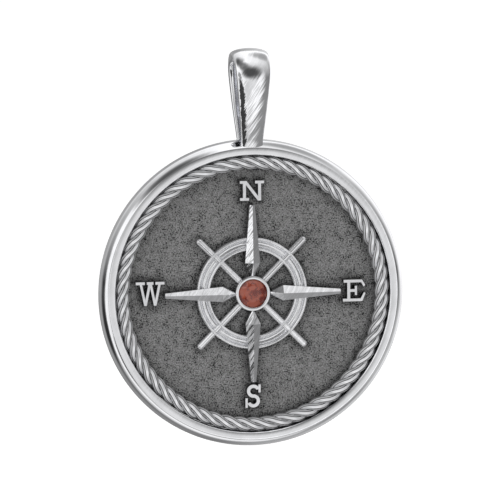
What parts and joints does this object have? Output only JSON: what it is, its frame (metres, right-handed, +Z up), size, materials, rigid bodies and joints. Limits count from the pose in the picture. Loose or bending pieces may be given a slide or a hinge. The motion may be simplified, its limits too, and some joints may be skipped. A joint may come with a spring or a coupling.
{
  "type": "compass medallion pendant",
  "caption": "Round silver medallion pendant with a rope border, a ship's wheel, a compass rose, a small red stone and a tapered bail.",
  "frame": {"origin": "the top inside of the bail, on the medallion's middle plane, where a chain bears on it", "axes": "+Z points up, to the compass's north; the medallion's front faces -Y; +X is to the right seen from the front"},
  "size_m": [0.025, 0.0048, 0.0323],
  "materials": {
    "polished_silver": "mirror-polished silver",
    "antiqued_silver": "bright silver relief with darkened recesses",
    "oxidised_silver": "matte, fine-grained, blackened silver",
    "red_stone": "faceted, clear red-brown"
  },
  "bodies": {
    "root": {"back_plate": "oxidised_silver", "rim": "polished_silver", "rope_border": "antiqued_silver", "ships_wheel": "antiqued_silver", "needle_north": "antiqued_silver", "needle_east": "antiqued_silver", "needle_south": "antiqued_silver", "needle_west": "antiqued_silver", "letter_n": "antiqued_silver", "letter_e": "antiqued_silver", "letter_s": "antiqued_silver", "letter_w": "antiqued_silver", "bezel": "polished_silver", "stone": "red_stone", "bail": "polished_silver"}
  },
  "joints": []
}
